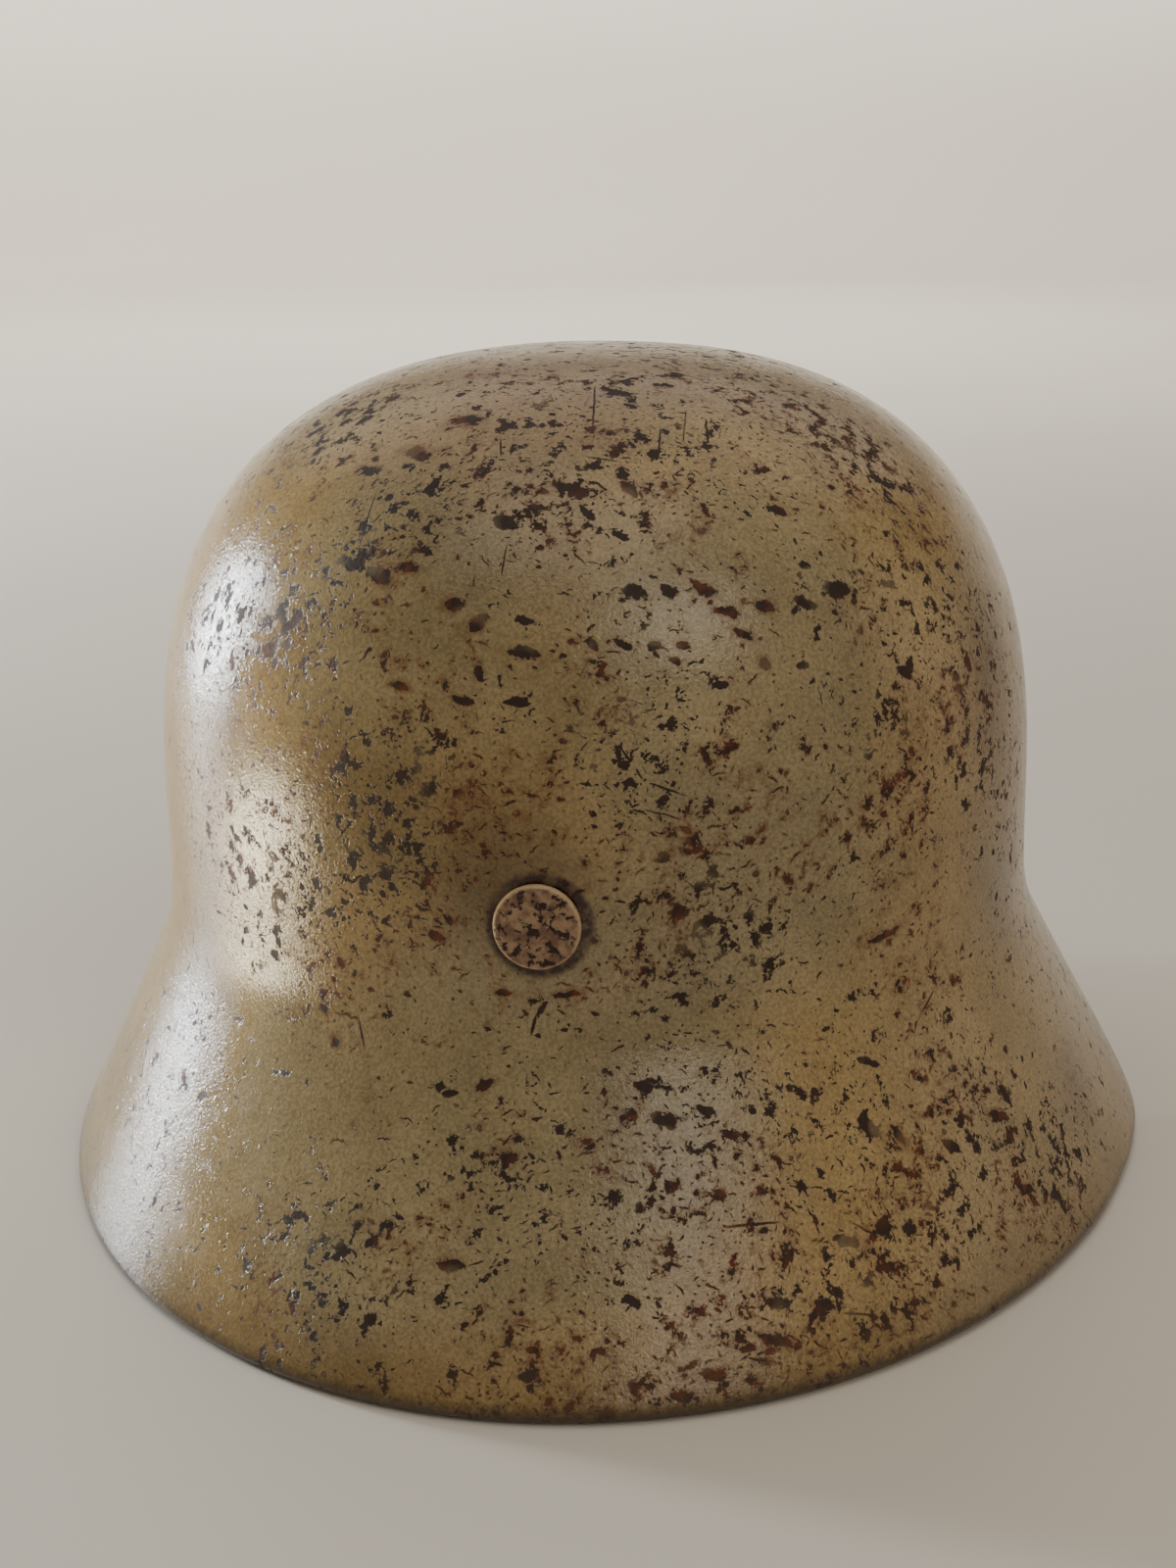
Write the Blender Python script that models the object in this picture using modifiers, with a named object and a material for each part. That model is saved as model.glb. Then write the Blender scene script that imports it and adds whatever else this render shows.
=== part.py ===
"""A steel helmet with a domed crown, a short visor and a flared neck skirt.

The real one is a single pressing of sheet steel. Its rim is rolled inward into a hem, three split
rivets hold a liner at the back and above each temple, and a tubular bushing lines each air vent.
Metres, +Z up. The visor points along -Y, and the skirt rests on the plane z = 0. The origin lies
on that plane, under the middle of the helmet's length.
"""

import math

import bmesh
import bpy
from mathutils import Matrix, Vector

# Sheet
STEEL = 0.0012              # thickness of the pressed sheet
CLEARANCE = 0.0003          # gap left between pieces that touch on the real helmet

# Crown
CROWN_HEIGHT = 0.1707       # outside, above the resting plane
GIRTH_HEIGHT = 0.0804       # where the dome's wall stands upright
DOME_HALF_WIDTH = 0.0918
DOME_FRONT = 0.1115         # from the dome's axis to the brow
DOME_REAR = 0.0940          # from the dome's axis to the nape
SIDE_FULLNESS = 2.59        # of the dome's profile: 2 is an ellipse, more is squarer
BROW_FULLNESS = 2.35
PLAN_FULLNESS = 1.98        # of the dome seen from above

# Skirt and visor
SKIRT_HALF_WIDTH = 0.1200
SKIRT_REACH = 0.1323        # from the dome's axis to the rearmost rim
SKIRT_WIDEST = 0.0266       # the skirt's oval is widest this far ahead of the axis
VISOR_REACH = 0.1470        # from the dome's axis to the visor's tip
VISOR_HALF_WIDTH = 0.0943
VISOR_WIDEST = 0.0350       # the visor's oval is widest this far ahead of the axis
VISOR_LIFT = 0.0450         # rim height at the visor's tip
TEMPLE_LIFT = 0.0385        # rim height where the visor ends
STEP_FRONT = math.radians(57)   # azimuth where the rim starts down to the ear
STEP_REAR = math.radians(87)    # azimuth where the rim reaches the resting plane
BROW_WALL = 0.0084          # upright wall between the girth and the flare, at the brow
EAR_WALL = 0.0202
NAPE_WALL = 0.0164
FLARE_BEND = 0.13           # 0 is a sharp crease, more is a rounder one

# Rolled hem
HEM_BORE = 0.0006           # inside radius of the rolled edge
HEM_FLAT = math.radians(14)     # half the arc that lies flat on the table
HEM_RETURN = 0.0042         # how far the turned sheet runs back up inside

# Liner rivets
RIVET_HEAD_RADIUS = 0.0081
RIVET_HEAD_THICKNESS = 0.0017
RIVET_HEAD_CROWN = 0.0003   # rise of the head's middle over its edge
RIVET_EDGE = 0.0008         # rounding of the head's edge
RIVET_SHANK = 0.0038        # side of the square shank
RIVET_LEG_REACH = 0.0078    # from the rivet's axis to the end of each bent leg
RIVET_LEG_THICKNESS = 0.0010
REAR_RIVET_HEIGHT = 0.0783
SIDE_RIVET_HEIGHT = 0.0830
SIDE_RIVET_AZIMUTH = math.radians(50)

# Vent bushings
VENT_HEIGHT = 0.1080
VENT_AZIMUTH = math.radians(75)
VENT_BORE_RADIUS = 0.0026
VENT_TUBE_WALL = 0.0009
VENT_FLANGE_RADIUS = 0.0056
VENT_FLANGE_THICKNESS = 0.0010

# Seats pressed flat in the shell
SEAT_MARGIN = 0.0016        # flat sheet left round a rivet or a bushing

# Mesh fineness
SIDE_CELLS = 18             # cells along each side of the starting cube
TURN_STEPS = 24             # steps of a turned piece
HEM_STEPS = 3               # steps on each side of the hem's flat
COLUMN_GATHER = 0.3         # how much the columns close up round the rim's step, 0 to 1
SEARCH_STEP = 1e-4          # how finely a seat's place on the shell is searched
WELD = 1e-5                 # points closer than this are one

UP = Vector((0, 0, 1))
HEM_RADIUS = HEM_BORE + STEEL
AXIS_Y = (VISOR_REACH - SKIRT_REACH) / 2    # the dome's axis, seen from the origin
SAND = (0.42, 0.32, 0.17, 1)
RUSTED_SAND = (0.30, 0.20, 0.13, 1)
WORN_SAND = (0.36, 0.27, 0.15, 1)


def clear_scene():
    """Remove whatever the file opened with."""
    for old in list(bpy.data.objects):
        bpy.data.objects.remove(old)


def collection(name):
    """Make a collection and link it to the scene."""
    group = bpy.data.collections.new(name)
    bpy.context.scene.collection.children.link(group)
    return group


def paint(name, colour, roughness, metallic):
    """A Principled material for one piece."""
    made = bpy.data.materials.new(name)
    made.use_nodes = True
    shader = made.node_tree.nodes["Principled BSDF"]
    shader.inputs["Base Color"].default_value = colour
    shader.inputs["Roughness"].default_value = roughness
    shader.inputs["Metallic"].default_value = metallic
    return made


def smooth_step(value, start, end):
    """0 before start, 1 after end, with a soft rise between."""
    share = min(max((value - start) / (end - start), 0), 1)
    return share * share * (3 - 2 * share)


def mix(first, second, share):
    return first + (second - first) * share


def outward(azimuth):
    """The horizontal direction of an azimuth, counted from the visor."""
    return Vector((math.sin(azimuth), -math.cos(azimuth), 0))


def turn_from_front(azimuth):
    """The azimuth folded on to one half of the helmet, from 0 at the visor to pi at the nape."""
    return abs(math.remainder(azimuth, 2 * math.pi))


def gather(azimuth):
    """Shift an even column's azimuth so that columns stand closer round the rim's step."""
    turn = turn_from_front(azimuth)
    twice = STEP_FRONT + STEP_REAR
    shift = (math.sin(2 * turn - twice) + math.sin(twice)) * COLUMN_GATHER / 2
    return math.copysign(turn - shift, azimuth)


def dome_reach(azimuth):
    """Distance from the axis to the dome's wall at its girth."""
    side = abs(math.sin(azimuth)) / DOME_HALF_WIDTH
    length = DOME_FRONT if math.cos(azimuth) > 0 else DOME_REAR
    along = abs(math.cos(azimuth)) / length
    return (side ** PLAN_FULLNESS + along ** PLAN_FULLNESS) ** (-1 / PLAN_FULLNESS)


def oval_reach(azimuth, half_width, half_length, ahead):
    """Distance from the dome's axis to an oval whose middle lies ahead of it."""
    side = math.sin(azimuth) / half_width
    along = math.cos(azimuth) / half_length
    shift = ahead / half_length
    square = side * side + along * along
    middle = along * shift
    return (middle + math.sqrt(middle * middle + square * (1 - shift * shift))) / square


def rim_reach(azimuth):
    """Distance from the axis to the rim: the visor's oval, then the skirt's."""
    turn = turn_from_front(azimuth)
    visor = oval_reach(turn, VISOR_HALF_WIDTH, VISOR_REACH - VISOR_WIDEST, VISOR_WIDEST)
    skirt = oval_reach(turn, SKIRT_HALF_WIDTH, SKIRT_REACH + SKIRT_WIDEST, SKIRT_WIDEST)
    return mix(visor, skirt, smooth_step(turn, STEP_FRONT, STEP_REAR))


def rim_lift(azimuth):
    """Height of the rim over the resting plane."""
    turn = turn_from_front(azimuth)
    visor = mix(VISOR_LIFT, TEMPLE_LIFT, smooth_step(turn, 0, STEP_FRONT))
    return visor * (1 - smooth_step(turn, STEP_FRONT, STEP_REAR))


def flare_top(azimuth):
    """Height where the wall starts to flare out."""
    turn = turn_from_front(azimuth)
    before_ear = mix(BROW_WALL, EAR_WALL, smooth_step(turn, 0, STEP_REAR))
    wall = mix(before_ear, NAPE_WALL, smooth_step(turn, STEP_REAR, math.pi))
    return GIRTH_HEIGHT - wall


def at(azimuth, reach, height):
    """A point of the helmet from its azimuth, its distance from the axis and its height."""
    return outward(azimuth) * reach + Vector((0, AXIS_Y, height))


def dome_point(azimuth, lean):
    """A point of the dome. lean is its angle from straight up, seen from the girth's middle."""
    side, rise = math.sin(lean), math.cos(lean)
    ahead = max(math.cos(azimuth), 0) ** 2
    fullness = mix(SIDE_FULLNESS, BROW_FULLNESS, ahead)
    size = (side ** fullness + rise ** fullness) ** (-1 / fullness)
    height = GIRTH_HEIGHT + (CROWN_HEIGHT - GIRTH_HEIGHT) * size * rise
    return at(azimuth, dome_reach(azimuth) * size * side, height)


def hem_start(azimuth):
    """Height of the middle of the hem's roll."""
    return rim_lift(azimuth) + HEM_RADIUS * math.cos(HEM_FLAT)


def flare_share(drop):
    """How far out the flare is when it has come down by the share drop."""
    return (math.hypot(drop, FLARE_BEND) - FLARE_BEND) / (math.hypot(1, FLARE_BEND) - FLARE_BEND)


def flare_end(azimuth):
    """Where the flare meets the hem's roll: reach, height and the way down, as an angle."""
    reach = rim_reach(azimuth) - HEM_RADIUS
    fall = flare_top(azimuth) - hem_start(azimuth)
    spread = reach - dome_reach(azimuth)
    steepness = 1 / (math.hypot(1, FLARE_BEND) * (math.hypot(1, FLARE_BEND) - FLARE_BEND))
    slope = math.atan2(fall, spread * steepness)
    return reach, hem_start(azimuth), slope


def wall_point(azimuth, share):
    """A point below the girth. share runs from 0 at the girth to 1 where the hem starts."""
    reach, middle, slope = flare_end(azimuth)
    end_reach = reach + HEM_RADIUS * math.sin(slope)
    end_height = middle + HEM_RADIUS * math.cos(slope)
    top = flare_top(azimuth)
    upright = (GIRTH_HEIGHT - top) / (GIRTH_HEIGHT - end_height + end_reach - dome_reach(azimuth))
    if share <= upright:
        return at(azimuth, dome_reach(azimuth), mix(GIRTH_HEIGHT, top, share / upright))
    drop = (share - upright) / (1 - upright)
    spread = (end_reach - dome_reach(azimuth)) * flare_share(drop)
    return at(azimuth, dome_reach(azimuth) + spread, mix(top, end_height, drop))


def hem_points(azimuth):
    """The hem's section after the flare: round its foot with a flat under it, then up inside."""
    reach, middle, slope = flare_end(azimuth)
    start = math.pi / 2 - slope
    foot = -math.pi / 2
    finish = start - math.pi
    turns = [mix(start, foot + HEM_FLAT, step / HEM_STEPS) for step in range(1, HEM_STEPS + 1)]
    turns += [mix(foot - HEM_FLAT, finish, step / HEM_STEPS) for step in range(HEM_STEPS + 1)]
    round_part = [
        at(azimuth, reach + HEM_RADIUS * math.cos(turn), middle + HEM_RADIUS * math.sin(turn))
        for turn in turns
    ]
    back = -outward(azimuth) * math.cos(slope) + UP * math.sin(slope)
    return round_part + [round_part[-1] + back * HEM_RETURN]


def shell_point(azimuth, way):
    """A point of the shell above its hem. way is 0 at the top, 1 at the girth, 2 at the hem."""
    if way < 1:
        return dome_point(azimuth, way * math.pi / 2)
    return wall_point(azimuth, way - 1)


def place_corner(corner):
    """Where a vertex of the starting cube, whose corners are at 1 and -1, goes on the helmet."""
    ray = Vector([math.tan(value * math.pi / 4) for value in corner])
    azimuth = gather(math.atan2(ray.x, -ray.y))
    if corner.z > 0:
        lean = math.atan2(math.hypot(ray.x, ray.y), ray.z)
        return shell_point(azimuth, lean / (math.pi / 2))
    return shell_point(azimuth, 1 - corner.z)


def seat_frame(azimuth, height):
    """The place and outward normal of a seat on the shell's outside."""
    above, below = 0.0, 2.0
    while below - above > SEARCH_STEP:
        way = (above + below) / 2
        if shell_point(azimuth, way).z > height:
            above = way
        else:
            below = way
    down = shell_point(azimuth, way + SEARCH_STEP) - shell_point(azimuth, way - SEARCH_STEP)
    along = shell_point(azimuth + SEARCH_STEP, way) - shell_point(azimuth - SEARCH_STEP, way)
    return shell_point(azimuth, way), down.cross(along).normalized()


def seat_axes(normal):
    """Two axes in a seat's plane: level, and up the wall."""
    level = UP.cross(normal).normalized()
    return level, normal.cross(level)


def cut_seat(mesh, place, normal, seat_radius, hole_radius):
    """Turn the cells round one vertex into a flat round seat with a hole in its middle."""
    middle = min(mesh.verts, key=lambda vertex: (vertex.co - place).length)
    ring = {vertex for face in middle.link_faces for vertex in face.verts} - {middle}
    bmesh.ops.delete(mesh, geom=[middle], context="VERTS")
    level, rise = seat_axes(normal)

    def angle(vertex):
        from_place = vertex.co - place
        return math.atan2(from_place.dot(rise), from_place.dot(level))

    ordered = sorted(ring, key=angle)
    first = angle(ordered[0])
    step = 2 * math.pi / len(ordered)
    first -= math.remainder(first, step)
    edges = []
    for index, vertex in enumerate(ordered):
        turn = first + index * step
        vertex.co = place + (level * math.cos(turn) + rise * math.sin(turn)) * seat_radius
        following = ordered[(index + 1) % len(ordered)]
        edges += [edge for edge in vertex.link_edges if edge.other_vert(vertex) == following]
    made = bmesh.ops.extrude_edge_only(mesh, edges=edges)["geom"]
    corner = hole_radius / math.cos(step / 2)
    for vertex in [item for item in made if isinstance(item, bmesh.types.BMVert)]:
        vertex.co = place + (vertex.co - place) * (corner / seat_radius)


def roll_hem(mesh):
    """Extrude the open lower edge round the hem, one step of its section after another."""
    edges = [edge for edge in mesh.edges if edge.is_boundary]
    turns = {}
    for edge in edges:
        for vertex in edge.verts:
            turns[vertex] = math.atan2(vertex.co.x, AXIS_Y - vertex.co.y)
    sections = {vertex: hem_points(turn) for vertex, turn in turns.items()}
    for step in range(2 * HEM_STEPS + 2):
        made = bmesh.ops.extrude_edge_only(mesh, edges=edges)["geom"]
        edges = [item for item in made if isinstance(item, bmesh.types.BMEdge)]
        edges = [edge for edge in edges if edge.is_boundary]
        moved = {}
        for vertex in {corner for edge in edges for corner in edge.verts}:
            old = next(link.other_vert(vertex) for link in vertex.link_edges
                       if link.other_vert(vertex) in sections)
            moved[vertex] = sections[old]
        for vertex, section in moved.items():
            vertex.co = section[step]
        sections = moved


def build_shell(group, seats):
    """The pressed shell: a cube of grid cells, open below, drawn into dome, skirt and hem."""
    mesh = bmesh.new()
    bmesh.ops.create_cube(mesh, size=2)
    bmesh.ops.subdivide_edges(mesh, edges=mesh.edges[:], cuts=SIDE_CELLS - 1, use_grid_fill=True)
    under = [face for face in mesh.faces if face.normal.z < -0.5]
    bmesh.ops.delete(mesh, geom=under, context="FACES")
    for vertex in mesh.verts:
        vertex.co = place_corner(vertex.co)
    roll_hem(mesh)
    for seat in seats:
        cut_seat(mesh, *seat)
    bmesh.ops.recalc_face_normals(mesh, faces=mesh.faces[:])
    data = bpy.data.meshes.new("shell")
    mesh.to_mesh(data)
    mesh.free()
    shell = bpy.data.objects.new("shell", data)
    group.objects.link(shell)
    sheet = shell.modifiers.new("sheet", "SOLIDIFY")
    sheet.thickness = STEEL
    sheet.offset = -1
    sheet.use_even_offset = True
    data.shade_smooth()
    return shell


def turned(name, outline, group):
    """A turned piece: an outline of (radius, height) points swept round Z by a Screw."""
    data = bpy.data.meshes.new(name)
    corners = [(radius, 0, height) for radius, height in outline]
    edges = [(index, index + 1) for index in range(len(corners) - 1)]
    if outline[0][0] > 0:
        edges.append((len(corners) - 1, 0))
    data.from_pydata(corners, edges, [])
    piece = bpy.data.objects.new(name, data)
    group.objects.link(piece)
    screw = piece.modifiers.new("turn", "SCREW")
    screw.steps = screw.render_steps = TURN_STEPS
    screw.use_merge_vertices = True
    screw.merge_threshold = WELD
    screw.use_normal_calculate = True
    return piece


def arc(middle, radius, start, end, steps):
    """Points of an arc from start to end, both included."""
    return [
        (middle[0] + radius * math.cos(mix(start, end, step / steps)),
         middle[1] + radius * math.sin(mix(start, end, step / steps)))
        for step in range(steps + 1)
    ]


def stand_on(piece, place, normal):
    """Place a piece with its local Z along the seat's normal and its local Y up the wall."""
    level, rise = seat_axes(normal)
    turn = Matrix((level, rise, normal)).transposed()
    piece.matrix_world = Matrix.Translation(place) @ turn.to_4x4()


def rivet_head_outline():
    """From the head's middle down its rounded edge to its flat underside."""
    edge_middle = (RIVET_HEAD_RADIUS - RIVET_EDGE, CLEARANCE + RIVET_HEAD_THICKNESS - RIVET_EDGE)
    edge = arc(edge_middle, RIVET_EDGE, math.pi / 2, 0, 3)
    top = CLEARANCE + RIVET_HEAD_THICKNESS + RIVET_HEAD_CROWN
    shoulder = (RIVET_HEAD_RADIUS / 2, CLEARANCE + RIVET_HEAD_THICKNESS + RIVET_HEAD_CROWN * 0.75)
    under = [(RIVET_HEAD_RADIUS, CLEARANCE), (0, CLEARANCE)]
    return [(0, top), shoulder] + edge + under


def split_pin_outline():
    """The shank and its two bent legs as a flat outline, with Y along the rivet's axis."""
    half = RIVET_SHANK / 2
    inside = -STEEL - CLEARANCE
    foot = inside - RIVET_LEG_THICKNESS
    head_middle = CLEARANCE + RIVET_HEAD_THICKNESS / 2
    right = [(half, head_middle), (half, inside), (RIVET_LEG_REACH, inside), (RIVET_LEG_REACH, foot)]
    return right + [(-across, height) for across, height in reversed(right)]


def split_pin(name):
    """The shank and legs as a closed mesh, drawn as a flat curve and given its width."""
    outline = split_pin_outline()
    curve = bpy.data.curves.new(name, "CURVE")
    curve.dimensions = "2D"
    curve.fill_mode = "BOTH"
    curve.extrude = RIVET_SHANK / 2
    line = curve.splines.new("POLY")
    line.points.add(len(outline) - 1)
    for point, corner in zip(line.points, outline):
        point.co = (*corner, 0, 1)
    line.use_cyclic_u = True
    drawn = bpy.data.objects.new(name + "_curve", curve)
    bpy.context.scene.collection.objects.link(drawn)
    seen = drawn.evaluated_get(bpy.context.evaluated_depsgraph_get())
    solid = bpy.data.meshes.new_from_object(seen)
    bpy.data.objects.remove(drawn)
    solid.transform(Matrix.Rotation(math.pi / 2, 4, "X"))
    mesh = bmesh.new()
    mesh.from_mesh(solid)
    bmesh.ops.remove_doubles(mesh, verts=mesh.verts, dist=WELD)
    bmesh.ops.recalc_face_normals(mesh, faces=mesh.faces[:])
    mesh.to_mesh(solid)
    mesh.free()
    return solid


def build_rivet(name, group, tools, place, normal):
    """A split rivet in one piece: head outside, shank through the hole, legs bent flat inside."""
    rivet = turned(name, rivet_head_outline(), group)
    pin = bpy.data.objects.new(name + "_pin", split_pin(name + "_pin"))
    tools.objects.link(pin)
    pin.hide_render = True
    pin.display_type = "WIRE"
    join = rivet.modifiers.new("pin", "BOOLEAN")
    join.operation = "UNION"
    join.object = pin
    stand_on(rivet, place, normal)
    stand_on(pin, place, normal)
    return rivet


def bushing_outline():
    """The ring section of a vent bushing: outer flange, tube, and the flange spread inside."""
    bore = VENT_BORE_RADIUS
    tube = VENT_BORE_RADIUS + VENT_TUBE_WALL
    outer = CLEARANCE + VENT_FLANGE_THICKNESS
    inner = -STEEL - CLEARANCE - VENT_FLANGE_THICKNESS
    return [
        (bore, outer),
        (VENT_FLANGE_RADIUS - VENT_FLANGE_THICKNESS / 2, outer),
        (VENT_FLANGE_RADIUS, CLEARANCE + VENT_FLANGE_THICKNESS / 3),
        (VENT_FLANGE_RADIUS, CLEARANCE),
        (tube, CLEARANCE),
        (tube, -STEEL - CLEARANCE),
        (VENT_FLANGE_RADIUS, -STEEL - CLEARANCE),
        (VENT_FLANGE_RADIUS, inner + VENT_FLANGE_THICKNESS / 3),
        (VENT_FLANGE_RADIUS - VENT_FLANGE_THICKNESS / 2, inner),
        (bore, inner),
    ]


def build_bushing(name, group, place, normal):
    """A tubular bushing that lines one vent hole and clamps the sheet between its two flanges."""
    bushing = turned(name, bushing_outline(), group)
    stand_on(bushing, place, normal)
    return bushing


def main():
    """Build every piece of the helmet."""
    clear_scene()
    helmet = collection("steel_helmet")
    tools = collection("joining_tools")
    rivets = {
        "liner_rivet_rear": seat_frame(math.pi, REAR_RIVET_HEIGHT),
        "liner_rivet_left": seat_frame(SIDE_RIVET_AZIMUTH, SIDE_RIVET_HEIGHT),
        "liner_rivet_right": seat_frame(-SIDE_RIVET_AZIMUTH, SIDE_RIVET_HEIGHT),
    }
    vents = {
        "vent_bushing_left": seat_frame(VENT_AZIMUTH, VENT_HEIGHT),
        "vent_bushing_right": seat_frame(-VENT_AZIMUTH, VENT_HEIGHT),
    }
    rivet_seat = max(RIVET_HEAD_RADIUS, RIVET_LEG_REACH) + SEAT_MARGIN
    rivet_hole = RIVET_SHANK / math.sqrt(2) + CLEARANCE
    vent_seat = VENT_FLANGE_RADIUS + SEAT_MARGIN
    vent_hole = VENT_BORE_RADIUS + VENT_TUBE_WALL + CLEARANCE
    seats = [(*frame, rivet_seat, rivet_hole) for frame in rivets.values()]
    seats += [(*frame, vent_seat, vent_hole) for frame in vents.values()]
    shell = build_shell(helmet, seats)
    shell.data.materials.append(paint("shell_paint", SAND, 0.42, 0.0))
    rivet_paint = paint("rivet_paint", RUSTED_SAND, 0.5, 0.2)
    vent_paint = paint("vent_paint", WORN_SAND, 0.5, 0.1)
    for name, frame in rivets.items():
        build_rivet(name, helmet, tools, *frame).data.materials.append(rivet_paint)
    for name, frame in vents.items():
        build_bushing(name, helmet, *frame).data.materials.append(vent_paint)


main()
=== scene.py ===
# %% [markdown]
# # A steel helmet in pitted sand paint
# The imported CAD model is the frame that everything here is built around. It gives one node
# for each solid: the pressed shell, three split rivets and two vent bushings. The nodes carry
# the physics, so they are never moved. Finer pieces are modelled in the same places and stand
# for them in the picture.

# %% Load the frame
import math
import bpy
import numpy as np
from mathutils import Matrix, Vector, noise
from mathutils.bvhtree import BVHTree


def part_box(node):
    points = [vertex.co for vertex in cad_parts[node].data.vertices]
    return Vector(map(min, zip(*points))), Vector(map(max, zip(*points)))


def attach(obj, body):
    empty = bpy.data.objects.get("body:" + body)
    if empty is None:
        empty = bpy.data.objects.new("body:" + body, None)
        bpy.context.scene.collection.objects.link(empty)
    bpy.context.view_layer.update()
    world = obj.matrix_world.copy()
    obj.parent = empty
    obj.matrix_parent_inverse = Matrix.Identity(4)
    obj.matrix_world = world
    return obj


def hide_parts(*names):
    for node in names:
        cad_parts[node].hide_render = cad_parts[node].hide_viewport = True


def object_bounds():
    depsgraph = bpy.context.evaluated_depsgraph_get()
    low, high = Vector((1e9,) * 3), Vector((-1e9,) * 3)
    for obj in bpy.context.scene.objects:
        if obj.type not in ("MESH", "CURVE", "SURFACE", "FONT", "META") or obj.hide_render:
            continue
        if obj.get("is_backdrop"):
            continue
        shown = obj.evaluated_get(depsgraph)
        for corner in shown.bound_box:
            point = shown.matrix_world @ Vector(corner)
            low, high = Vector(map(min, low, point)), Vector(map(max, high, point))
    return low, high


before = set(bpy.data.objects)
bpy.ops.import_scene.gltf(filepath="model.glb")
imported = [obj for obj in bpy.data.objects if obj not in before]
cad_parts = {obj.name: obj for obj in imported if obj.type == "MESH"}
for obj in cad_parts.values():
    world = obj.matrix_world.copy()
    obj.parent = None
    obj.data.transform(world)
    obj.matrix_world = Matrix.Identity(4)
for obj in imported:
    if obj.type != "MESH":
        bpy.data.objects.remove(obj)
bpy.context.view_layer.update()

MM = 0.001
print("nodes:", sorted(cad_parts))

# %% [markdown]
# ## The camera
# The helmet was photographed from behind, from a little above its crown. A camera is easiest
# to place with a point, a direction and a small roll: the direction becomes a rotation with
# to_track_quat, and the roll turns the camera about its own line of sight. The numbers come
# from fitting the helmet's outline, not from trial and error.

# %% Place the camera
EYE = Vector((-0.05676, 0.49425, 0.22146))
SIGHT = Vector((0.11440, -0.95232, -0.28284)).normalized()
ROLL = math.radians(-1.12)
LENS = 54.09
SENSOR = 36.0
PHOTO_WIDTH, PHOTO_HEIGHT = 1200, 1600

eye_data = bpy.data.cameras.new("eye")
eye_data.lens = LENS
eye_data.sensor_width = SENSOR
eye_data.clip_start, eye_data.clip_end = 0.01, 50
eye = bpy.data.objects.new("eye", eye_data)
bpy.context.scene.collection.objects.link(eye)
eye.matrix_world = (Matrix.Translation(EYE) @ SIGHT.to_track_quat("-Z", "Y").to_matrix().to_4x4()
                    @ Matrix.Rotation(ROLL, 4, "Z"))
bpy.context.scene.camera = eye
print("camera pitch:", round(math.degrees(math.asin(SIGHT.z)), 2), "degrees")

# %% [markdown]
# ## The shell
# The real shell is one pressing of 1.2 mm steel: a deep dome, a shallow step over the ears, a
# flared skirt, and a rim folded inward so that it doesn't cut. The CAD node already has all
# of this in flat facets. A mesh from CAD comes in as loose triangles, so a copy is welded
# first, its triangles are paired back into quads, and a Subdivision Surface turns the facets
# into the smooth sheet that the highlights need.

# %% Weld a copy of a CAD node
WELD = 0.002 * MM
QUAD_BEND = math.radians(50)
QUAD_SKEW = math.radians(70)


def pick(piece):
    """Makes this piece the only one that an operator acts on."""
    bpy.ops.object.select_all(action="DESELECT")
    piece.select_set(True)
    bpy.context.view_layer.objects.active = piece


def welded_copy(node, name):
    """A copy of a CAD node's mesh, welded and back in quads, as a piece of its own."""
    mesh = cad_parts[node].data.copy()
    mesh.name = name
    mesh.materials.clear()
    piece = bpy.data.objects.new(name, mesh)
    bpy.context.scene.collection.objects.link(piece)
    pick(piece)
    bpy.ops.object.mode_set(mode="EDIT")
    bpy.ops.mesh.select_all(action="SELECT")
    bpy.ops.mesh.remove_doubles(threshold=WELD)
    bpy.ops.mesh.tris_convert_to_quads(face_threshold=QUAD_BEND, shape_threshold=QUAD_SKEW)
    bpy.ops.object.mode_set(mode="OBJECT")
    return piece


def apply_modifier(piece, kind, **settings):
    """Adds one modifier and applies it at once."""
    pick(piece)
    modifier = piece.modifiers.new(kind.title(), kind)
    for key, value in settings.items():
        setattr(modifier, key, value)
    bpy.ops.object.modifier_apply(modifier=modifier.name)


helmet = welded_copy("shell", "helmet_shell")
print("welded shell:", len(helmet.data.vertices), "points,", len(helmet.data.polygons), "faces")

# %% Smooth the pressing and give it a hand-made unevenness
SMOOTH_LEVELS = 2
WAVE_SIZE = 0.030
WAVE_DEPTH = 0.0003

apply_modifier(helmet, "SUBSURF", levels=SMOOTH_LEVELS, render_levels=SMOOTH_LEVELS)
wave = bpy.data.textures.new("pressing_waves", "CLOUDS")
wave.noise_scale = WAVE_SIZE
apply_modifier(helmet, "DISPLACE", texture=wave, texture_coords="LOCAL", strength=WAVE_DEPTH, mid_level=0.5)
pick(helmet)
bpy.ops.object.shade_smooth()
print("finished shell:", sum(len(p.vertices) - 2 for p in helmet.data.polygons), "triangles")

# %% [markdown]
# ## Points on the paint
# Rust marks have places, and the quickest way to name a place is by what the camera sees
# there. A ray from the camera through a pixel meets the shell in one point. That point is
# what the materials use, so a mark stays on the steel when the camera moves.

# %% Find the point behind a pixel
shell_tree = BVHTree.FromObject(helmet, bpy.context.evaluated_depsgraph_get())


def photo_point(x, y):
    """The shell's point and outward normal behind pixel (x, y) of the 1200 x 1600 frame."""
    pixels = LENS / SENSOR * PHOTO_HEIGHT
    along = Vector(((x - PHOTO_WIDTH / 2) / pixels, (PHOTO_HEIGHT / 2 - y) / pixels, -1))
    along = (eye.matrix_world.to_3x3() @ along).normalized()
    point, normal, face, distance = shell_tree.ray_cast(EYE, along)
    if point is None:
        raise ValueError(f"pixel {x}, {y} is not on the shell")
    return point, normal


UNDER_REAR_RIVET = (549, 1050)
nape = photo_point(*UNDER_REAR_RIVET)[0]
print("under the rear rivet, in mm:", [round(v / MM, 1) for v in nape])

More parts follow.
